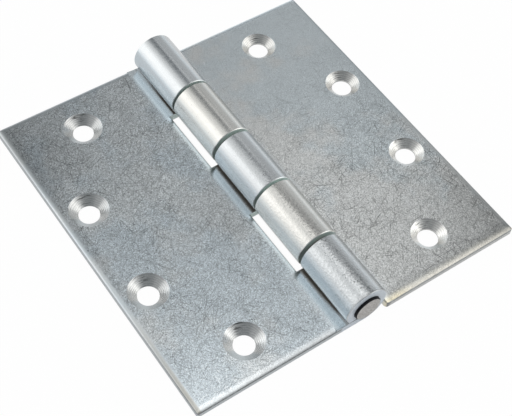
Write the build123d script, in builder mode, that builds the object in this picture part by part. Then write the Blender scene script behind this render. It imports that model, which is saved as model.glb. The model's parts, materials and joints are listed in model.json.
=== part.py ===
"""Fixed pin hinge: two pressed steel leaves, curled round one plain pin.

Millimetres. The origin lies below the middle of the pin, on the plane that the open leaves rest on.
+X points to the two-knuckle leaf, +Y runs along the pin, and +Z points up to the barrel side.
"""

import os
from math import sqrt

from build123d import *

# Sheet of the leaves
leaf_length = 100.0  # along the pin
leaf_reach = 49.5  # from the pin's axis to the outer edge
sheet = 2.4
corner_radius = 0.5
edge_roll = (1.3, 0.35)  # shearing rolls the edges over on the barrel side: this far in, and this far down
near_roll = (1.5, 0.6)  # the near end is rolled over more
cutout_roll = 0.6  # rounding along the cut-outs, on the barrel side
cutout_corner_radius = 0.9  # at the ends of the two-knuckle leaf
edge_break = 0.15  # bevel along the edges of the back and round the knuckles' ends

# Barrel
pin_diameter = 7.7
running_clearance = 0.05  # between the pin and a knuckle, on the radius
press_depth = 0.2  # the forming tool presses the sheet this much thinner beside and in the curl
press_reach = 2.6  # width of the pressed strip beyond the barrel
press_ramp = 2.8  # width of the slope between the strip and the flat leaf
lip_gap = 0.2  # under the outer corner of a full curl's free end
lip_gap_inside = 0.6  # under its inner corner
short_curl_gaps = (  # the three-knuckle leaf's curls stop short: the gap at each one's far and near corner
    (0.55, 0.75),
    (1.05, 1.15),
    (1.05, 0.3),
)
cutout_clearance = 0.6  # between a knuckle and the other leaf's cut-out edge

# Knuckles along the pin
middle_knuckle = 18.2
moving_knuckle = 19.2  # each knuckle of the two-knuckle leaf
knuckle_gap = 0.95  # end play at each side of a moving knuckle, when it is centred
knuckle_offset = -0.3  # the row of knuckles from the middle of the three-knuckle leaf
moving_offset = 0.15  # where the two-knuckle leaf lies in its end play
pin_stand_out = 0.75  # past each end of the three-knuckle leaf
pin_edge = 0.25

# Screw holes, two in an inner line and two in an outer line on each leaf
hole_offset = -0.6  # the row of holes from the middle of the three-knuckle leaf
hole_diameter = 5.7
countersink_angle = 95
left_countersink = 10.8  # diameters on the face of the sheet
right_countersink = 9.9
inner_line_inset = 20.1  # from the leaf's outer edge
inner_line_pitch = 78.6
outer_line_inset = 7.8
outer_line_pitch = 29.4

# Sizes that follow from those above
knuckle_wall = sheet - press_depth
bore_radius = pin_diameter / 2 + running_clearance
barrel_radius = bore_radius + knuckle_wall
cutout = barrel_radius + cutout_clearance
strip_edge = barrel_radius + press_reach
slot_length = moving_knuckle + 2 * knuckle_gap
knuckle_pitch = (middle_knuckle + slot_length) / 2
moving_row = knuckle_offset + moving_offset
moving_middle = hole_offset + moving_offset  # the two-knuckle leaf is the same each way from its holes
row_end = middle_knuckle / 2 + slot_length  # from the row's middle to the outer end of a slot
LEFT = -1
RIGHT = 1


def outermost(shapes, side):
    """The face or edge that lies furthest out on one side of the pin."""
    return shapes.sort_by(Axis.X)[0 if side == LEFT else -1]


def rolled_plate(side, middle):
    """The flat of a leaf, with its top rolled over along the outer edge and the two ends."""
    rolls = [  # direction out over the edge, distance of the edge, and the roll's width and depth
        (Vector(side, 0, 0), leaf_reach, *edge_roll),
        (Vector(0, 1, 0), leaf_length / 2, *edge_roll),
        (Vector(0, -1, 0), leaf_length / 2, *near_roll),
    ]
    with BuildPart() as plate:
        with BuildSketch() as outline:
            with Locations((side * (strip_edge + leaf_reach) / 2, middle)):
                Rectangle(leaf_reach - strip_edge, leaf_length)
            corners = outline.vertices().group_by(Axis.X)
            fillet(corners[0 if side == LEFT else -1], corner_radius)
        extrude(amount=sheet)
        for outward, distance, width, depth in rolls:
            start = Vector(0, middle, 0) + outward * (distance - width)
            with BuildSketch(Plane(start, x_dir=outward, z_dir=outward.cross(Vector(0, 0, 1)))):
                with BuildLine():
                    EllipticalCenterArc((0, sheet - depth), width, depth, arc_size=90)
                    Polyline(
                        (0, sheet),
                        (0, 2 * sheet),
                        (2 * width, 2 * sheet),
                        (2 * width, sheet - depth),
                        (width, sheet - depth),
                    )
                make_face()
            extrude(amount=leaf_length, both=True, mode=Mode.SUBTRACT)
    return plate.part


def curl_section(side, middle):
    """Section across the pin: pressed strip beside the barrel, and the curl back onto it."""
    lip_z = knuckle_wall + lip_gap
    lip_x = sqrt(barrel_radius**2 - (barrel_radius - lip_z) ** 2)
    lip_inside_z = knuckle_wall + lip_gap_inside
    lip_inside_x = sqrt(bore_radius**2 - (barrel_radius - lip_inside_z) ** 2)
    ramp_foot = strip_edge - press_ramp
    ramp_middle = strip_edge - press_ramp / 2
    with BuildSketch(Plane.XZ.offset(-middle)) as section:
        with BuildLine():
            Line((side * strip_edge, 0), (0, 0))
            ThreePointArc((0, 0), (0, 2 * barrel_radius), (side * lip_x, lip_z))
            Line((side * lip_x, lip_z), (side * lip_inside_x, lip_inside_z))
            ThreePointArc(
                (side * lip_inside_x, lip_inside_z),
                (0, barrel_radius + bore_radius),
                (0, knuckle_wall),
            )
            Line((0, knuckle_wall), (side * ramp_foot, knuckle_wall))
            rise = TangentArc(
                (side * ramp_foot, knuckle_wall),
                (side * ramp_middle, (knuckle_wall + sheet) / 2),
                tangent=(side, 0),
            )
            TangentArc(rise @ 1, (side * strip_edge, sheet), tangent=rise % 1)
            Line((side * strip_edge, sheet), (side * strip_edge, 0))
        make_face()
    return section.sketch


def curled_sheet(side, middle):
    """A leaf curled along its whole length, before its knuckles are cut apart."""
    plate = rolled_plate(side, middle)
    curl = curl_section(side, middle)
    with BuildPart() as leaf:
        add(plate)
        extrude(curl, amount=leaf_length / 2, both=True)
    return leaf.part


def cutout_edges(leaf, side):
    """Edges of a leaf's cut-outs that run along the pin, on the barrel side."""
    tops = leaf.edges().filter_by(Axis.Y).filter_by_position(Axis.Z, knuckle_wall, sheet)
    return tops.filter_by(lambda edge: abs(edge.center().X - side * cutout) < edge_break)


def back_edges(leaf, side):
    """Outer rims of a leaf's knuckles, and the outer edge of its back."""
    circles = leaf.edges().filter_by(GeomType.CIRCLE)
    rims = circles.filter_by(lambda edge: abs(edge.radius - barrel_radius) < edge_break)
    back = leaf.edges().filter_by(Axis.Y).group_by(Axis.Z)[0]
    return rims + [outermost(back, side)]


def hole_places(side, row):
    """Centres of a leaf's four screw holes, on the flat top of the sheet."""
    lines = [(inner_line_inset, inner_line_pitch), (outer_line_inset, outer_line_pitch)]
    return [
        (side * (leaf_reach - inset), row + end * pitch / 2, sheet)
        for inset, pitch in lines
        for end in (-1, 1)
    ]


# Three-knuckle leaf, with a slot for each knuckle of the other leaf
left_sheet = curled_sheet(LEFT, 0)
curl_spans = [
    (leaf_length / 2, knuckle_offset + row_end),
    (knuckle_offset + middle_knuckle / 2, knuckle_offset - middle_knuckle / 2),
    (knuckle_offset - row_end, -leaf_length / 2),
]
with BuildPart() as three_knuckle_leaf:
    add(left_sheet)
    with BuildSketch():
        with Locations((0, knuckle_offset - knuckle_pitch), (0, knuckle_offset + knuckle_pitch)):
            Rectangle(2 * cutout, slot_length)
    extrude(amount=2 * cutout, both=True, mode=Mode.SUBTRACT)
    with BuildSketch(Plane.YZ.offset(-cutout)):
        under_lip = knuckle_wall + lip_gap / 2
        for (far, near), (far_gap, near_gap) in zip(curl_spans, short_curl_gaps):
            Polygon(
                (far, under_lip),
                (far, knuckle_wall + far_gap),
                (near, knuckle_wall + near_gap),
                (near, under_lip),
                align=None,
            )
    extrude(amount=cutout, mode=Mode.SUBTRACT)
    fillet(cutout_edges(three_knuckle_leaf, LEFT), cutout_roll)
    chamfer(back_edges(three_knuckle_leaf, LEFT), edge_break)
    with Locations(*hole_places(LEFT, hole_offset)):
        CounterSinkHole(hole_diameter / 2, left_countersink / 2, counter_sink_angle=countersink_angle)

# Two-knuckle leaf, cut back everywhere but at its knuckles
right_sheet = curled_sheet(RIGHT, moving_middle)
with BuildPart() as two_knuckle_leaf:
    add(right_sheet)
    with BuildSketch():
        with Locations((0, moving_middle)):
            Rectangle(2 * cutout, 2 * leaf_length)
        with Locations((0, moving_row - knuckle_pitch), (0, moving_row + knuckle_pitch)):
            Rectangle(2 * cutout, moving_knuckle, mode=Mode.SUBTRACT)
    extrude(amount=2 * cutout, both=True, mode=Mode.SUBTRACT)
    fillet(cutout_edges(two_knuckle_leaf, RIGHT), cutout_roll)
    with BuildSketch():
        for end in (-1, 1):
            corner = Vector(cutout, moving_middle + end * leaf_length / 2)
            with Locations(corner):
                Rectangle(2 * cutout_corner_radius, 2 * cutout_corner_radius)
            with Locations(corner + Vector(cutout_corner_radius, -end * cutout_corner_radius)):
                Circle(cutout_corner_radius, mode=Mode.SUBTRACT)
    extrude(amount=sheet, mode=Mode.SUBTRACT)
    chamfer(back_edges(two_knuckle_leaf, RIGHT), edge_break)
    with Locations(*hole_places(RIGHT, moving_middle)):
        CounterSinkHole(hole_diameter / 2, right_countersink / 2, counter_sink_angle=countersink_angle)

# Pin
with BuildPart() as hinge_pin:
    with BuildSketch(Plane.XZ):
        with Locations((0, barrel_radius)):
            Circle(pin_diameter / 2)
    extrude(amount=leaf_length / 2 + pin_stand_out, both=True)
    chamfer(hinge_pin.edges().filter_by(GeomType.CIRCLE), pin_edge)

os.makedirs("parts", exist_ok=True)
three_knuckle_leaf.part.label = "three_knuckle_leaf"
export_step(three_knuckle_leaf.part, "parts/three_knuckle_leaf.step")
two_knuckle_leaf.part.label = "two_knuckle_leaf"
export_step(two_knuckle_leaf.part, "parts/two_knuckle_leaf.step")
hinge_pin.part.label = "hinge_pin"
export_step(hinge_pin.part, "parts/hinge_pin.step")
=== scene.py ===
"""Looks of a fixed pin hinge: zinc-plated steel leaves round a bare steel pin, on a white floor.

Metres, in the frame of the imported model: +Y runs along the pin and +Z points up to the barrel side.
The materials work in millimetres, because their grain, scratches and turning marks are that small.
"""

import json
from math import cos, pi, radians, sin
from types import SimpleNamespace
from typing import NamedTuple

import bpy
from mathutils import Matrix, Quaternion, Vector


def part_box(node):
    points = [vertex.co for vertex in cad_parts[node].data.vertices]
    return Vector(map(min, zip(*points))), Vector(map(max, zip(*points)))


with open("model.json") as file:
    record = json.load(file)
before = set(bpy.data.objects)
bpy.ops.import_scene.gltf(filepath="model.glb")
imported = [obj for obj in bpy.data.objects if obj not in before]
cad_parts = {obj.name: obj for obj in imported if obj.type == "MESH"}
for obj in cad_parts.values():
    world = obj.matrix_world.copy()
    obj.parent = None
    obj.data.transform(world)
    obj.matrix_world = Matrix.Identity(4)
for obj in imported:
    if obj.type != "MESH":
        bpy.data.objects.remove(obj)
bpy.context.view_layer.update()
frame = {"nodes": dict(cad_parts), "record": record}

# Camera: where it stands, the point on the floor that it aims at, and its focal length in picture widths
CAMERA_PLACE = Vector((-0.11817, -0.14650, 0.25096))
CAMERA_AIM = Vector((-0.00333, -0.00738, 0.0))
CAMERA_ROLL = radians(5.985)
FOCAL_LENGTH_IN_WIDTHS = 2.26845
SENSOR_WIDTH = 36.0
CAMERA_CLIP = 0.01

# Floor: half its width, how far it lies below the part, and how much it glows to the camera and in the metal
FLOOR_REACH = 6.0
FLOOR_DROP = 0.0001
GLOW_TO_CAMERA = 0.975
GLOW_IN_METAL = 0.45

# Sizes in millimetres: those across the pin start at its axis
MM = 1000.0
pin_low, pin_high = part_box("hinge_pin")
_, leaf_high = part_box("three_knuckle_leaf")
PIN_AXIS_HEIGHT = MM * (pin_low.z + pin_high.z) / 2
BARREL_RADIUS = MM * leaf_high.z - PIN_AXIS_HEIGHT
SHEET = 2.4
PAST_CUTOUT = (6.75, 7.3)  # from the wall of the cut-outs onto the sheet beyond it
STRIP_EDGE = 8.7  # outer edge of the pressed strip beside the barrel
LEAF_MIDDLE = 26.0  # across the flat of a leaf
ROW_MIDDLE = -0.3  # of the knuckles along the pin
SLOT_SPAN = (9.1, 30.2)  # both ends of a slot, from there
OUTER_ENDS = (40, 46)  # past here along the pin, a knuckle's end is an end of the barrel

# Scratches: length and width in millimetres, and a level that says how few there are
SHORT_SCRATCH = (6.2, 0.21, 0.64)
LONG_SCRATCH = (16.0, 0.16, 0.69)
PALE_SCRATCH = (2.6, 0.25, 0.66)
SCRATCH_FADE = 0.07  # levels from no scratch to a full one
SCRATCH_BEND = (0.8, 0.8, 0.0)  # of the short and pale ones, in millimetres
SHORT_SCRATCH_WAYS = 7
LONG_SCRATCH_TURNS = (0.35, 1.25, 2.2)  # in radians
PALE_SCRATCH_TURN = 0.9
LONG_SCRATCH_SHARE = 0.8

# Other marks in the zinc, in millimetres
RING_PITCH = 0.42
RING_WANDER = 0.5
WEAR_AND_GLINT_RADIUS = 0.28
GRAIN_HEIGHT = 0.012
NEAR_PIT_DEPTH = 0.060
FAR_PIT_DEPTH = 0.007
SCRATCH_DEPTH = 0.006
RING_HEIGHT = 0.004

# Brightness of the marks, as factors, and how far the rings change it
DARK_SCRATCH_LIGHT = 0.42
PALE_SCRATCH_LIGHT = 1.3
SPECK_LIGHT = 0.45
TORN_LIGHT = 0.26
RING_CHANGE = 0.08

# Colours that the leaves share
BRASS = (0.74, 0.66, 0.46)
DULL_EDGE = (0.44, 0.43, 0.40)
# The knuckles' inner ends are greenish, and darker than their outer ends as painted shade in the gaps
SHADED_INNER_END = (0.418, 0.478, 0.460)
OUTER_END = (0.60, 0.64, 0.69)
# Painted shade for the dark line under the rolled edges
UNDER_ROLL_SHADE = (0.12, 0.12, 0.115)
# Oil, with painted shade from the gap under the curl
OIL_AND_SHADE = (0.20, 0.17, 0.14)
# The seams under the curls: dirt and painted shade, and light at their open ends
SEAM_DIRT_AND_SHADE = (0.12, 0.108, 0.092)
OPEN_SEAM_END = (0.66, 0.70, 0.73)
# Wear with painted glints on the sharp edges
WORN_GLINTING_RIM = (0.88, 0.89, 0.88)

# Roughness of the zinc
FLAT_ROUGHNESS = 0.31
STRIP_ROUGHNESS = 0.25
BARREL_ROUGHNESS = 0.245
TURNED_ROUGHNESS = 0.25
SHEARED_ROUGHNESS = 0.42

# How metallic the knuckles' ends and the places of dirt and painted shade look
END_METAL = 0.2
DIRT_AND_SHADE_METAL = 0.1

# Pin: its colours, with painted light on its far side and painted shade where it stands out, its roughness,
# and the relief of its torn ends in millimetres
PIN_SIDE = (0.36, 0.34, 0.31)
PIN_FAR_SIDE_LIT = (0.65, 0.67, 0.68)
PIN_STAND_OUT_SHADE = (0.02, 0.02, 0.022)
PIN_END_DARK = (0.25, 0.225, 0.21)
PIN_END_PALE = (0.60, 0.585, 0.565)
PIN_ROUGHNESS = 0.5
PIN_END_ROUGHNESS = 0.40
PIN_END_RELIEF = 0.16


class Finish(NamedTuple):
    """What differs between the leaves' zinc: a light is a factor of brightness that paints light and shade,
    and a share is 0 to 1.
    """

    seed: float  # moves the noise
    cool: tuple  # the flat drifts between these two colours
    warm: tuple
    drift_across: float  # towards the warm one, for each millimetre away from the pin
    drift_along: float  # and for each millimetre towards the far end
    painted_light_places: tuple  # places of painted light and shade: x, y, reach and change of light
    far_grain: float  # strength of the grain at the far end
    near_grain: float  # and at the near end
    scratch_share: float  # of the short dark scratches
    strip_colour: tuple  # of the pressed strip beside the barrel
    slot_light: float  # painted light on the strip beside the slots
    curl_colour: tuple  # of the barrel
    flank_reflection_colour: tuple  # of its side towards -X, tinted as a painted bluish reflection
    near_curl_light: float  # painted shade on the near half of the barrel
    stripe_light: float  # painted dark reflection along the barrel's crown
    near_edge_colour: tuple  # of the near edge: wear and a painted highlight
    worn_highlight_from: tuple  # where that wear and painted highlight start across the pin
    brass_share: float  # at its inner end
    dull_share: float  # along the near half of the outer edge
    near_rim_light: float  # painted light and shade along the edges
    outer_rim_light: float
    far_rim_light: float
    near_band_light: float  # painted light and shade along the bands inside them
    outer_band_light: float
    wall_colour: tuple  # of the sheared walls
    painted_corner_shade: float  # painted shade on the walls next to the barrel
    under_roll_shade_share: float  # of painted shade under the rolled edges
    countersink: float  # radius on the face of the sheet
    turned_colour: tuple  # of the countersinks
    near_turned_colour: tuple  # of their near walls, darker as painted shade


LEFT_FINISH = Finish(
    seed=11.0,
    cool=(0.590, 0.640, 0.676),
    warm=(0.640, 0.662, 0.673),
    drift_across=0.0,
    drift_along=0.0025,
    painted_light_places=((-52, 40, 30, -0.28), (-42, -54, 30, 0.24), (-12, -4, 16, -0.10)),
    far_grain=1.02,
    near_grain=0.86,
    scratch_share=0.88,
    strip_colour=(0.622, 0.662, 0.682),
    slot_light=1.30,
    curl_colour=(0.632, 0.645, 0.655),
    flank_reflection_colour=(0.576, 0.630, 0.668),
    near_curl_light=1.0,
    stripe_light=0.82,
    near_edge_colour=(0.69, 0.71, 0.72),
    worn_highlight_from=(8.7, 10.2),
    brass_share=0.0,
    dull_share=0.95,
    near_rim_light=0.72,
    outer_rim_light=1.0,
    far_rim_light=1.0,
    near_band_light=1.05,
    outer_band_light=0.87,
    wall_colour=(0.52, 0.545, 0.56),
    painted_corner_shade=1.0,
    under_roll_shade_share=0.95,
    countersink=5.4,
    turned_colour=(0.572, 0.575, 0.572),
    near_turned_colour=(0.385, 0.420, 0.435),
)
RIGHT_FINISH = Finish(
    seed=47.0,
    cool=(0.602, 0.642, 0.662),
    warm=(0.660, 0.658, 0.648),
    drift_across=-0.006,
    drift_along=-0.004,
    painted_light_places=((12, -24, 58, 0.24), (58, -46, 32, -0.25)),
    far_grain=0.25,
    near_grain=1.0,
    scratch_share=1.0,
    strip_colour=(0.620, 0.640, 0.650),
    slot_light=1.0,
    curl_colour=(0.668, 0.653, 0.624),
    flank_reflection_colour=(0.630, 0.650, 0.650),
    near_curl_light=0.90,
    stripe_light=0.68,
    near_edge_colour=(0.66, 0.635, 0.57),
    worn_highlight_from=(4.7, 7.2),
    brass_share=0.8,
    dull_share=0.0,
    near_rim_light=1.0,
    outer_rim_light=0.60,
    far_rim_light=1.45,
    near_band_light=0.86,
    outer_band_light=1.0,
    wall_colour=(0.57, 0.565, 0.555),
    painted_corner_shade=0.4,
    under_roll_shade_share=0.7,
    countersink=4.95,
    turned_colour=(0.628, 0.620, 0.602),
    near_turned_colour=(0.470, 0.500, 0.505),
)


class Nodes:
    """A node tree that is written as nested calls: each returns the socket that the next one takes."""

    def __init__(self, owner):
        owner.use_nodes = True
        self.tree = owner.node_tree
        self.tree.nodes.clear()

    def add(self, kind, inputs=None, **settings):
        """A node with its settings, and its inputs filled from values or from other nodes' sockets."""
        made = self.tree.nodes.new("ShaderNode" + kind)
        for name, value in settings.items():
            setattr(made, name, value)
        for name, value in (inputs or {}).items():
            socket = made.inputs[name]
            if isinstance(value, bpy.types.NodeSocket):
                self.tree.links.new(value, socket)
            elif socket.type == "RGBA":
                socket.default_value = (*value, 1.0)
            else:
                socket.default_value = value
        return made

    def math(self, operation, *values):
        return self.add("Math", dict(enumerate(values)), operation=operation).outputs[0]

    def vector(self, operation, *values):
        """What vector maths gives as a vector."""
        return self.add("VectorMath", dict(enumerate(values)), operation=operation).outputs["Vector"]

    def measure(self, operation, *values):
        """What vector maths gives as a number."""
        return self.add("VectorMath", dict(enumerate(values)), operation=operation).outputs["Value"]

    def times(self, *values):
        """The product of some numbers."""
        product = values[0]
        for value in values[1:]:
            product = self.math("MULTIPLY", product, value)
        return product

    def rest(self, share):
        """What a share leaves of 1."""
        return self.math("SUBTRACT", 1.0, share)

    def step(self, value, start, end, low=0.0, high=1.0):
        """Goes smoothly from low to high while the value goes from start to end."""
        inputs = {"Value": value, "From Min": start, "From Max": end, "To Min": low, "To Max": high}
        return self.add("MapRange", inputs, interpolation_type="SMOOTHSTEP").outputs[0]

    def fade(self, value, start, end):
        """Goes smoothly from 1 to 0 while the value goes from start to end."""
        return self.step(value, start, end, 1.0, 0.0)

    def line(self, value, start, end, low, high):
        """Goes straight from low to high, and stays there, while the value goes from start to end."""
        inputs = {"Value": value, "From Min": start, "From Max": end, "To Min": low, "To Max": high}
        return self.add("MapRange", inputs).outputs[0]

    def spread(self, noise, change, middle=0.0):
        """Noise as a number that lies up to the change away from the middle, either way."""
        return self.line(noise, 0.2, 0.8, middle - change, middle + change)

    def mix(self, share, first, second):
        """A colour between two others."""
        return self.add("Mix", {0: share, 6: first, 7: second}, data_type="RGBA").outputs[2]

    def blend(self, share, first, second):
        """A number between two others."""
        return self.add("Mix", {0: share, 2: first, 3: second}).outputs[0]

    def light(self, share, factor):
        """1, or the factor where the share is full."""
        return self.blend(share, 1.0, factor)

    def shade(self, colour, factor):
        """A colour times a number."""
        return self.add("VectorMath", {0: colour, "Scale": factor}, operation="SCALE").outputs[0]

    def noise(self, place, scale, detail=2.0, roughness=0.5):
        """Noise about 0.5, nearly all of it between 0.2 and 0.8."""
        inputs = {"Vector": place, "Scale": scale, "Detail": detail, "Roughness": roughness}
        return self.add("TexNoise", inputs).outputs[0]

    def parts(self, vector):
        return self.add("SeparateXYZ", {0: vector}).outputs

    def point(self, x, y, z=0.0):
        return self.add("CombineXYZ", {0: x, 1: y, 2: z}).outputs[0]

    def moved(self, place, offset=(0, 0, 0), scale=(1, 1, 1)):
        return self.add("Mapping", {0: place, "Location": offset, "Scale": scale}).outputs[0]

    def bump(self, height):
        """A normal for a relief in millimetres."""
        return self.add("Bump", {"Strength": 1.0, "Distance": 1.0 / MM, "Height": height}).outputs[0]

    def output(self, shader, kind="OutputMaterial"):
        self.tree.links.new(shader, self.add(kind).inputs["Surface"])


def place_camera():
    data = bpy.data.cameras.new("camera")
    data.sensor_width = SENSOR_WIDTH
    data.lens = SENSOR_WIDTH * FOCAL_LENGTH_IN_WIDTHS
    data.clip_start = CAMERA_CLIP
    camera = bpy.data.objects.new("camera", data)
    bpy.context.scene.collection.objects.link(camera)
    camera.location = CAMERA_PLACE
    camera.rotation_mode = "QUATERNION"
    aimed = (CAMERA_AIM - CAMERA_PLACE).to_track_quat("-Z", "Y")
    camera.rotation_quaternion = aimed @ Quaternion((0, 0, 1), CAMERA_ROLL)
    bpy.context.scene.camera = camera


def studio_world():
    """A pale studio: bright near the floor, with softboxes and darker places that fade at their edges."""
    ceiling = (0.540, 0.560, 0.570)
    horizon = (0.43, 0.50, 0.54)
    # Azimuth and elevation of a place's middle, degrees from there to where it fades and ends, and its light
    places = [
        (134.6, 27.0, 7, 30, (0.70, 0.70, 0.69)),
        (119.7, 37.0, 7, 42, (0.40, 0.40, 0.39)),
        (54.3, 79.1, 5, 22, (1.22, 1.22, 1.20)),
        (53.0, 47.8, 4, 7, (0.85, 0.85, 0.84)),
        (-50.0, 60.0, 6, 28, (0.60, 0.59, 0.57)),
        (-48.0, 22.0, 8, 24, (0.45, 0.45, 0.44)),
        (-26.0, 17.0, 12, 30, (0.82, 0.80, 0.76)),
        (72.0, 48.0, 14, 21, (-0.44, -0.44, -0.435)),
        (18.8, 48.5, 7, 11, (-0.57, -0.58, -0.59)),
        (242.0, 38.0, 20, 44, (-0.24, -0.24, -0.24)),
    ]
    world = bpy.data.worlds.new("studio")
    bpy.context.scene.world = world
    n = Nodes(world)
    direction = n.add("TexCoord").outputs["Generated"]
    colour = n.vector("MULTIPLY_ADD", horizon, n.fade(n.parts(direction)[2], 0.0, 0.35), ceiling)
    for azimuth, elevation, full, end, light in places:
        level = cos(radians(elevation))
        middle = (level * cos(radians(azimuth)), level * sin(radians(azimuth)), sin(radians(elevation)))
        nearness = n.measure("DOT_PRODUCT", direction, middle)
        share = n.step(nearness, cos(radians(end)), cos(radians(full)))
        colour = n.vector("MULTIPLY_ADD", light, share, colour)
    n.output(n.add("Background", {"Color": colour, "Strength": 1.0}).outputs[0], "OutputWorld")


def white_floor():
    """A white floor, which looks white to the camera and in the metal, and still takes a faint shadow."""
    mesh = bpy.data.meshes.new("floor")
    signs = [(-1, -1), (1, -1), (1, 1), (-1, 1)]
    corners = [(FLOOR_REACH * x, FLOOR_REACH * y, -FLOOR_DROP) for x, y in signs]
    mesh.from_pydata(corners, [], [(0, 1, 2, 3)])
    floor = bpy.data.objects.new("floor", mesh)
    bpy.context.scene.collection.objects.link(floor)
    material = bpy.data.materials.new("white_floor")
    mesh.materials.append(material)
    n = Nodes(material)
    path = n.add("LightPath").outputs
    mirrored = n.math("MAXIMUM", path["Is Glossy Ray"], path["Is Transmission Ray"])
    seen = n.times(path["Is Camera Ray"], GLOW_TO_CAMERA)
    share = n.math("MULTIPLY_ADD", mirrored, GLOW_IN_METAL, seen)
    paint = n.add("BsdfDiffuse", {"Color": (0.9, 0.9, 0.9)}).outputs[0]
    glow = n.add("Emission", {"Color": (1, 1, 1), "Strength": 1.0}).outputs[0]
    n.output(n.add("MixShader", {0: share, 1: paint, 2: glow}).outputs[0])


def screw_lines(leaf):
    """Distance from the pin, middle along it and pitch of a leaf's two lines of holes, in millimetres."""
    lines = []
    for mount in frame["record"]["mounts"]:
        if mount["kind"] == "bolt_pattern" and mount["name"].startswith(leaf):
            x, y, _ = mount["pos_m"]
            lines.append((abs(x) * MM, y * MM, mount["dims"]["spacing_y_mm"]))
    return lines


def from_nearest_hole(n, leaf, across, y):
    """Distance from the nearest hole: the holes lie in lines, the same each way from their middle."""
    nearest = None
    for line_x, row, pitch in screw_lines(leaf):
        along = n.math("ABSOLUTE", n.math("SUBTRACT", y, row))
        apart = n.measure("DISTANCE", n.point(across, along), (line_x, pitch / 2, 0))
        nearest = apart if nearest is None else n.math("MINIMUM", nearest, apart)
    return nearest


def leaf_places(n, leaf):
    """Where a point lies on a leaf, as lengths in millimetres and shares: y is about -50 at the near end."""
    at = SimpleNamespace()
    texture = n.add("TexCoord").outputs
    at.place = n.shade(texture["Object"], MM)
    at.x, at.y, at.z = n.parts(at.place)
    at.facing_x, at.facing_y, at.facing_z = n.parts(texture["Normal"])
    at.across = n.math("ABSOLUTE", at.x)

    # Distances from the edges and the holes
    low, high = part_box(leaf)
    at.from_outer = n.math("SUBTRACT", MM * max(-low.x, high.x), at.across)
    at.from_near = n.math("SUBTRACT", at.y, MM * low.y)
    at.from_far = n.math("SUBTRACT", MM * high.y, at.y)
    at.from_hole = from_nearest_hole(n, leaf, at.across, at.y)

    # Shares of the barrel, of tops, of knuckle ends and of the walls of the sheet
    beside_pin = n.point(at.x, 0.0, n.math("SUBTRACT", at.z, PIN_AXIS_HEIGHT))
    at.barrel = n.fade(n.measure("LENGTH", beside_pin), BARREL_RADIUS + 0.15, BARREL_RADIUS + 0.5)
    at.top = n.step(at.facing_z, 0.3, 0.6)
    at.end_face = n.step(n.math("ABSOLUTE", at.facing_y), 0.75, 0.9)
    at.past_cutout = n.step(at.across, *PAST_CUTOUT)
    upright = n.fade(n.math("ABSOLUTE", at.facing_z), 0.25, 0.45)
    at.wall = n.times(upright, n.fade(at.z, SHEET - 0.3, SHEET), at.past_cutout)

    # Shares of the sheet beside the slots and of the pressed strip, which is narrower there
    slot_start, slot_end = SLOT_SPAN
    from_row = n.math("ABSOLUTE", n.math("SUBTRACT", at.y, ROW_MIDDLE))
    past_start = n.step(from_row, slot_start - 0.2, slot_start + 0.6)
    at.beside_slot = n.times(past_start, n.fade(from_row, slot_end - 0.6, slot_end + 0.2))
    wide_strip = n.fade(at.across, STRIP_EDGE - 1.0, STRIP_EDGE + 1.6)
    narrow_strip = n.fade(at.across, STRIP_EDGE - 1.4, STRIP_EDGE - 0.1)
    at.strip = n.blend(at.beside_slot, wide_strip, narrow_strip)
    return at


def add_turned(n, at, countersink):
    """Adds the share of the countersinks, on the barrel side only."""
    at.turned = n.times(
        n.fade(at.from_hole, countersink - 0.05, countersink + 0.05),
        n.fade(at.z, SHEET - 0.06, SHEET - 0.02),
        n.step(at.facing_z, -0.6, -0.3),
    )


def add_grain(n, at, finish):
    """Adds the noise of the zinc in two sizes, and how much of it shows."""
    at.seeded = n.moved(at.place, (finish.seed, 2.3 * finish.seed, 0.7 * finish.seed))
    at.fine = n.noise(at.seeded, 4.2, 1.0, 0.6)
    at.middle = n.noise(at.seeded, 1.0, 2.0, 0.55)
    at.flat = n.times(
        n.rest(at.strip),
        n.rest(at.turned),
        n.step(n.math("MINIMUM", at.from_outer, at.from_far), 0.6, 2.0),
        n.step(at.from_near, 0.4, 2.2, 0.45, 1.0),
        n.step(at.y, -25, 40, finish.near_grain, finish.far_grain),
    )
    at.grained = n.math("MAXIMUM", at.flat, n.step(at.y, -30, 30, 0.12, 0.04))


def strokes(n, place, turn, length, width, level):
    """Scratches that run one way, as 0 to 1: the level says how few there are."""
    inputs = {0: place, "Rotation": (0, 0, turn), "Scale": (length, width, length)}
    stretched = n.add("Mapping", inputs, vector_type="TEXTURE").outputs[0]
    return n.step(n.noise(stretched, 1.0, 1.0), level, level + SCRATCH_FADE)


def scratches(n, at, scratch_share):
    """Dark and pale scratches on the flat, as 0 to 1: the short ones are bent, and gather in patches."""
    bends = n.add("TexNoise", {"Vector": at.seeded, "Scale": 0.3, "Detail": 1.0}).outputs["Color"]
    bent = n.vector("MULTIPLY_ADD", bends, SCRATCH_BEND, at.seeded)
    # Each way takes its own part of the noise, so that no two ways look alike
    short = 0.0
    for way in range(SHORT_SCRATCH_WAYS):
        start = n.moved(bent, (13 * way, 29 * way, 0))
        one_way = strokes(n, start, pi * way / SHORT_SCRATCH_WAYS, *SHORT_SCRATCH)
        short = n.math("MAXIMUM", one_way, short)
    patches = n.noise(n.moved(at.seeded, (37, 71, 0)), 0.11, 2.0, 0.6)
    short = n.times(short, n.step(patches, 0.36, 0.60, 0.40, 1.0), at.flat, scratch_share)
    long = 0.0
    for turn in LONG_SCRATCH_TURNS:
        start = n.moved(at.seeded, (41 * turn, 17 * turn, 0))
        long = n.math("MAXIMUM", strokes(n, start, turn, *LONG_SCRATCH), long)
    dark = n.math("MAXIMUM", short, n.times(long, at.flat, LONG_SCRATCH_SHARE))
    pale = strokes(n, n.moved(bent, (7, 3, 0)), PALE_SCRATCH_TURN, *PALE_SCRATCH)
    return dark, n.times(pale, at.flat)


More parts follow.
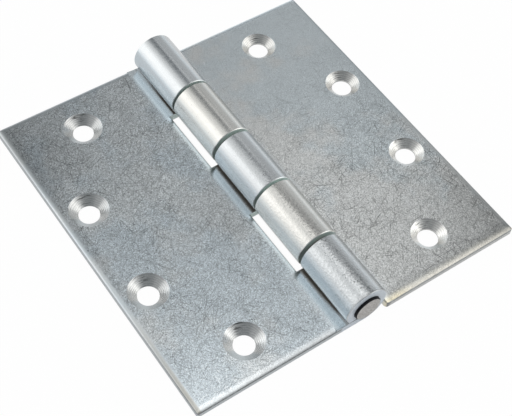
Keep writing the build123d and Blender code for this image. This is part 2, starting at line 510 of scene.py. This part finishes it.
def turning_rings(n, at):
    """Rings that the tool left in the countersinks, as -1 to 1."""
    ring_place = n.math("MULTIPLY_ADD", n.noise(at.seeded, 0.6, 1.0), RING_WANDER, at.from_hole)
    return n.times(n.math("SINE", n.times(ring_place, 2 * pi / RING_PITCH)), at.turned)


def torn_arcs(n, at, seed):
    """Arcs that the tool tore in the far walls of the countersinks, as 0 to 1."""
    round_hole = n.moved(n.point(at.x, at.y, at.from_hole), (seed, 0, 0), (0.36, 0.36, 4.0))
    chatter = n.noise(round_hole, 1.0, 2.0, 0.6)
    return n.times(
        n.step(chatter, 0.53, 0.58),
        n.fade(at.facing_y, -0.42, -0.20),
        n.step(at.facing_x, -0.05, 0.25, 1.0, 0.15),
        n.step(at.facing_x, -0.50, -0.25),
        at.turned,
        n.step(at.z, 0.6, 2.0, 0.45, 1.0),
    )


def plate_colour(n, at, finish):
    """Colour of the zinc: it drifts over the flat, and each formed, worn or turned place has its own, with a
    painted highlight on the worn near edge, painted shade on the countersinks' near walls and a painted
    reflection on the barrel's side towards -X.
    """
    broad = n.noise(at.seeded, 0.07, 3.0, 0.55)
    drifted = n.math("MULTIPLY_ADD", at.across, finish.drift_across, broad)
    drifted = n.math("MULTIPLY_ADD", at.y, finish.drift_along, drifted)
    even = 0.50 + LEAF_MIDDLE * finish.drift_across
    colour = n.mix(n.step(drifted, even - 0.12, even + 0.12), finish.cool, finish.warm)

    # Painted light on the strip: brighter towards the near end and beside the slots
    strip_painted_light = n.times(n.step(at.y, -40, 5, 1.16, 1.0), n.light(at.beside_slot, finish.slot_light))
    colour = n.mix(at.strip, colour, n.shade(finish.strip_colour, strip_painted_light))

    # Wear and a painted highlight along the rolled near edge
    worn_highlight = n.times(n.step(at.from_near, 0.3, 2.4, 0.85, 0.0), n.step(at.across, *finish.worn_highlight_from))
    worn_highlight_colour = n.mix(n.step(at.across, 9, 17, finish.brass_share, 0.0), finish.near_edge_colour, BRASS)
    colour = n.mix(worn_highlight, colour, worn_highlight_colour)
    dulled = n.times(n.step(at.from_outer, 0.7, 1.3, finish.dull_share, 0.0), n.fade(at.y, -46, -12))
    colour = n.mix(dulled, colour, DULL_EDGE)

    shaded_near_wall = n.times(n.step(at.facing_y, -0.2, 0.2), n.step(at.facing_x, -0.3, -0.05))
    colour = n.mix(at.turned, colour, n.mix(shaded_near_wall, finish.turned_colour, finish.near_turned_colour))
    # The barrel's side towards -X takes a painted bluish reflection
    reflecting_flank = n.fade(at.facing_x, -0.95, -0.75)
    return n.mix(at.barrel, colour, n.mix(reflecting_flank, finish.curl_colour, finish.flank_reflection_colour))


def grain_light(n, at):
    """Brightness from the grain, and from the streaks of rolling along the barrel."""
    streaks = n.noise(n.moved(at.seeded, scale=(2.6, 0.05, 2.6)), 1.0, 2.0, 0.6)
    level = n.times(n.spread(at.fine, 0.78), at.grained)
    level = n.math("MULTIPLY_ADD", n.spread(at.middle, 0.08), at.grained, level)
    level = n.math("MULTIPLY_ADD", n.spread(streaks, 0.04), at.barrel, level)
    return n.math("ADD", level, 1.0)


def painted_edge_light(n, at, finish):
    """Painted light and shade along the leaf's edges, and along the bands inside them."""
    outer_band = n.times(n.step(at.from_outer, 0.7, 1.4), n.fade(at.from_outer, 2.4, 4.2))
    near_band = n.times(n.step(at.from_near, 1.0, 1.6), n.fade(at.from_near, 2.4, 4.5))
    return n.times(
        n.step(at.from_near, 0.15, 0.6, finish.near_rim_light, 1.0),
        n.step(at.from_outer, 0.2, 0.8, finish.outer_rim_light, 1.0),
        n.step(at.from_far, 0.4, 1.8, finish.far_rim_light, 1.0),
        n.light(n.times(outer_band, n.step(at.y, -28, -5)), finish.outer_band_light),
        n.light(near_band, finish.near_band_light),
    )


def barrel_light(n, at, finish):
    """Brightness of the barrel: a painted dark reflection along its crown, painted shade on its near half,
    and dark specks.
    """
    crown = n.times(at.barrel, at.top)
    from_stripe = n.math("ABSOLUTE", n.math("ADD", at.x, 0.25))
    dark_reflection_stripe = n.times(n.fade(from_stripe, 0.2, 1.7), crown, n.step(at.y, -25, 12, 1.0, 0.25))
    shaded_near_half = n.times(at.barrel, n.fade(at.y, -25, 5))
    spots = n.noise(n.moved(at.seeded, (5, 9, 2), (1.0, 0.8, 1.0)), 2.4, 2.0, 0.6)
    specks = n.times(
        n.step(spots, 0.57, 0.66),
        n.step(n.math("ABSOLUTE", n.math("ADD", at.x, 0.7)), 0.5, 2.4, 1.0, 0.1),
        crown,
        n.step(at.y, -46, 30, 1.0, 0.12),
    )
    return n.times(
        n.light(dark_reflection_stripe, finish.stripe_light),
        n.light(shaded_near_half, finish.near_curl_light),
        n.light(specks, SPECK_LIGHT),
    )


def countersink_light(n, at, rings):
    """Brightness of the countersinks: their rings, and painted light and shade on their walls by the way
    they face.
    """
    near_right = n.times(n.fade(at.facing_x, -0.5, -0.25), n.step(at.facing_y, 0.1, 0.3))
    near_right_light = n.light(near_right, 1.2)
    left_light = n.step(at.facing_x, 0.2, 0.5, 1.0, 1.3)
    right_light = n.step(at.facing_x, -0.65, -0.4, 0.88, 1.0)
    ring_light = n.math("MULTIPLY_ADD", rings, RING_CHANGE, 1.0)
    return n.light(at.turned, n.times(ring_light, near_right_light, left_light, right_light))


def painted_place_light(n, at, painted_light_places):
    """Painted light and shade in broad lighter and darker places."""
    levels = []
    for tone_x, tone_y, reach, change in painted_light_places:
        apart = n.measure("DISTANCE", n.point(at.x, at.y), (tone_x, tone_y, 0))
        levels.append(n.step(apart, 0.0, reach, 1.0 + change, 1.0))
    return n.times(*levels)


def inner_end_painted_light(n, at):
    """Painted light and shade on the ends that knuckles turn to each other, darker towards -X, and painted
    light on the sheet's ends below them.
    """
    sheet_light = 2.2
    curl_light = n.times(
        n.step(at.y, -10, 25, 1.35, 1.05),
        n.line(at.x, -6.2, -3.0, 0.50, 1.25),
        n.step(at.y, -29, -26, 0.74, 1.0),
    )
    return n.blend(n.step(at.z, 2.2, 3.0), sheet_light, curl_light)


def sheared(n, at, finish, colour):
    """A colour, with the dull ends of the knuckles and the sheared walls of the sheet over it, and painted
    shade on the inner ends and on the walls next to the barrel.
    """
    speckle = n.spread(at.fine, 0.15, 1.0)
    outer = n.step(n.math("ABSOLUTE", at.y), *OUTER_ENDS)
    end_colour = n.shade(n.mix(outer, SHADED_INNER_END, OUTER_END), speckle)
    end_light = n.blend(outer, inner_end_painted_light(n, at), 1.0)
    colour = n.mix(at.end_face, colour, n.shade(end_colour, end_light))
    # Painted shade on the walls next to the barrel
    painted_corner_shade = n.step(at.across, 6.9, 8.8, finish.painted_corner_shade, 1.0)
    return n.mix(at.wall, colour, n.shade(n.shade(finish.wall_colour, speckle), painted_corner_shade))


def dark_line_under_rolls(n, at, under_roll_shade_share):
    """A dark line of painted shade on the walls of the sheet, under their rolled edge, as 0 to 1."""
    outer_wall = n.times(n.fade(at.facing_x, -0.6, -0.4), n.step(at.y, -46, -15, 0.9, 0.1))
    return n.times(
        n.step(at.z, 1.40, 1.54),
        n.fade(at.z, 1.92, 2.08),
        n.math("MAXIMUM", n.fade(at.facing_y, -0.6, -0.4), outer_wall),
        n.rest(at.turned),
        n.step(at.middle, 0.35, 0.6, 0.7 * under_roll_shade_share, under_roll_shade_share),
        at.past_cutout,
    )


def oil_and_seam_shade(n, at):
    """Oil and painted shade from the gap under the curl, on the strip beside the barrel, as 0 to 1."""
    wander = n.math("ADD", n.spread(at.middle, 0.15), at.across)
    return n.times(
        n.step(wander, BARREL_RADIUS - 0.4, BARREL_RADIUS + 0.45, 0.75, 0.0),
        at.top,
        n.fade(at.z, SHEET + 0.1, SHEET + 0.3),
        n.step(at.y, -47, -39),
        n.step(at.y, -20, 30, 1.0, 0.3),
    )


def edge_wear_and_glint(n, at):
    """Wear and painted glints on the sharp edges of the knuckles, of the curls' lips and of the holes, as 0
    to 1.
    """
    rounded = n.add("Bevel", {"Radius": WEAR_AND_GLINT_RADIUS / MM}, samples=6).outputs[0]
    straight = n.add("NewGeometry").outputs["Normal"]
    return n.times(
        n.step(n.measure("DOT_PRODUCT", rounded, straight), 0.90, 0.985, 0.6, 0.0),
        n.rest(at.end_face),
        n.math("MAXIMUM", at.barrel, at.turned),
    )


def zinc_roughness(n, at):
    rough = n.blend(at.barrel, n.blend(at.strip, FLAT_ROUGHNESS, STRIP_ROUGHNESS), BARREL_ROUGHNESS)
    rough = n.math("ADD", rough, n.spread(at.middle, 0.05))
    rough = n.blend(at.turned, rough, TURNED_ROUGHNESS)
    return n.blend(n.math("MAXIMUM", at.end_face, at.wall), rough, SHEARED_ROUGHNESS)


def zinc_relief(n, at, dark_scratches, rings):
    """Height of the grain, the barrel's pits, the scratches and the rings, in millimetres."""
    pits = n.noise(n.moved(at.seeded, scale=(1.5, 0.8, 1.5)), 1.6, 2.0, 0.6)
    pit_depth = n.times(n.line(at.y, -40, 20, NEAR_PIT_DEPTH, FAR_PIT_DEPTH), at.barrel)
    relief = n.times(at.fine, GRAIN_HEIGHT, at.grained)
    relief = n.math("MULTIPLY_ADD", pits, pit_depth, relief)
    relief = n.math("MULTIPLY_ADD", dark_scratches, -SCRATCH_DEPTH, relief)
    return n.math("MULTIPLY_ADD", rings, RING_HEIGHT, relief)


def zinc_plate(leaf, finish):
    """Bright zinc on rolled sheet: grain and scratches on the flats, smooth on the edges and the barrel."""
    material = bpy.data.materials.new("zinc_" + leaf)
    n = Nodes(material)
    at = leaf_places(n, leaf)
    add_turned(n, at, finish.countersink)
    add_grain(n, at, finish)
    dark_scratches, pale_scratches = scratches(n, at, finish.scratch_share)
    rings = turning_rings(n, at)
    level = n.times(
        grain_light(n, at),
        painted_edge_light(n, at, finish),
        barrel_light(n, at, finish),
        n.light(dark_scratches, DARK_SCRATCH_LIGHT),
        n.light(pale_scratches, PALE_SCRATCH_LIGHT),
        countersink_light(n, at, rings),
        n.light(torn_arcs(n, at, finish.seed), TORN_LIGHT),
        painted_place_light(n, at, finish.painted_light_places),
    )
    colour = sheared(n, at, finish, n.shade(plate_colour(n, at, finish), level))

    # Dirt, oil and wear with painted shade and glints: under the curls the seams are dark with dirt and
    # painted shade, but light at both ends of the barrel
    colour = n.mix(dark_line_under_rolls(n, at, finish.under_roll_shade_share), colour, UNDER_ROLL_SHADE)
    oil_and_gap_shade = oil_and_seam_shade(n, at)
    colour = n.mix(oil_and_gap_shade, colour, OIL_AND_SHADE)
    dark_seam = n.times(n.fade(at.across, 5.3, 5.9), at.top, n.fade(at.z, SHEET, SHEET + 0.2))
    open_seam_ends = n.math("MAXIMUM", n.step(at.y, 35, 48), n.step(at.y, -48, -44.5, 0.6, 0.0))
    colour = n.mix(dark_seam, colour, n.mix(open_seam_ends, SEAM_DIRT_AND_SHADE, OPEN_SEAM_END))
    colour = n.mix(edge_wear_and_glint(n, at), colour, WORN_GLINTING_RIM)
    dirt_and_shade = n.math("MAXIMUM", dark_seam, oil_and_gap_shade)

    inputs = {
        "Base Color": colour,
        "Metallic": n.times(n.blend(at.end_face, 1.0, END_METAL), n.blend(dirt_and_shade, 1.0, DIRT_AND_SHADE_METAL)),
        "Roughness": zinc_roughness(n, at),
        "Normal": n.bump(zinc_relief(n, at, dark_scratches, rings)),
    }
    n.output(n.add("BsdfPrincipled", inputs).outputs[0])
    return material


def bare_steel():
    """Dull steel, with painted light towards the far end and painted shade where it stands out, and torn on
    its sheared ends.
    """
    material = bpy.data.materials.new("bare_steel")
    n = Nodes(material)
    texture = n.add("TexCoord").outputs
    place = n.shade(texture["Object"], MM)
    along = n.parts(place)[1]
    end = n.step(n.math("ABSOLUTE", n.parts(texture["Normal"])[1]), 0.8, 0.95)
    torn = n.noise(n.moved(place, (3, 0, 5), (1.0, 1.0, 2.4)), 1.4, 4.0, 0.65)
    face = n.mix(n.step(torn, 0.36, 0.58), PIN_END_DARK, PIN_END_PALE)
    side = n.mix(n.step(along, 34, 46), PIN_SIDE, PIN_FAR_SIDE_LIT)
    side = n.mix(n.step(n.math("ABSOLUTE", along), 49.6, 49.9), side, PIN_STAND_OUT_SHADE)
    inputs = {
        "Base Color": n.mix(end, side, face),
        "Metallic": 1.0,
        "Roughness": n.blend(end, PIN_ROUGHNESS, PIN_END_ROUGHNESS),
        "Normal": n.bump(n.times(torn, PIN_END_RELIEF, end)),
    }
    n.output(n.add("BsdfPrincipled", inputs).outputs[0])
    return material


def dress(node, material):
    frame["nodes"][node].material_slots[0].material = material


bpy.context.scene.view_settings.view_transform = "Standard"
place_camera()
studio_world()
white_floor()
dress("three_knuckle_leaf", zinc_plate("three_knuckle_leaf", LEFT_FINISH))
dress("two_knuckle_leaf", zinc_plate("two_knuckle_leaf", RIGHT_FINISH))
dress("hinge_pin", bare_steel())
